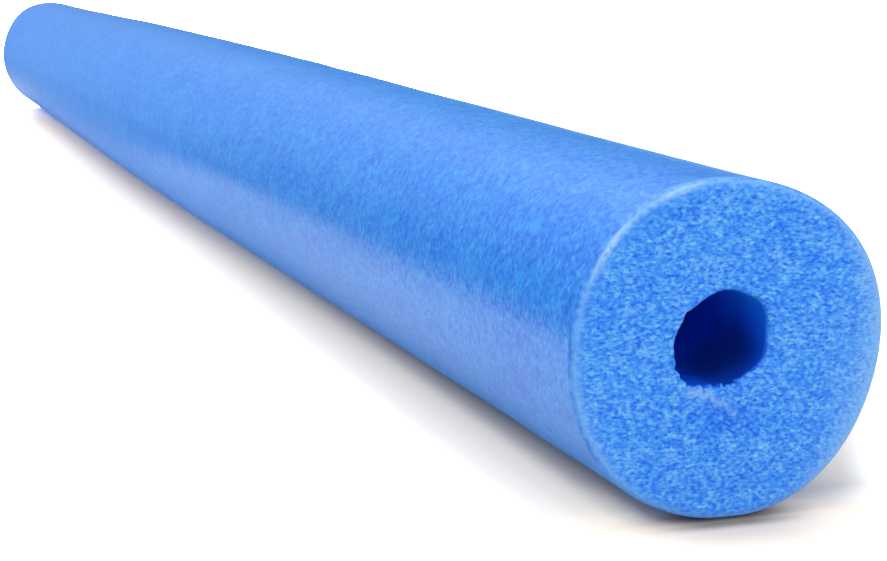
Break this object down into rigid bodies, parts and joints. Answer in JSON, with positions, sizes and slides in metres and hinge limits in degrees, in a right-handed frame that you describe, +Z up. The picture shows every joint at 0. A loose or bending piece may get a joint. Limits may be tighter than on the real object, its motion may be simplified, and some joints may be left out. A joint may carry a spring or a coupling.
{
  "type": "pool noodle",
  "caption": "Jumbo pool noodle: a straight blue foam tube with a bore right through it, square-cut ends and softly rounded rims, lying on its side.",
  "frame": {"origin": "on the floor under the middle of the noodle's bounding box", "axes": "+X along the noodle towards its near end, +Z up, +Y across it"},
  "size_m": [1.22, 0.0912, 0.0879],
  "materials": {
    "outer_skin": "satin dense skin of extruded closed-cell polyethylene foam",
    "foam_core": "matt cut face of fine closed-cell polyethylene foam",
    "bore_skin": "satin dense skin of the bore"
  },
  "bodies": {
    "root": {"outer_skin": "outer_skin", "foam_core": "foam_core", "bore_skin": "bore_skin"}
  },
  "joints": []
}
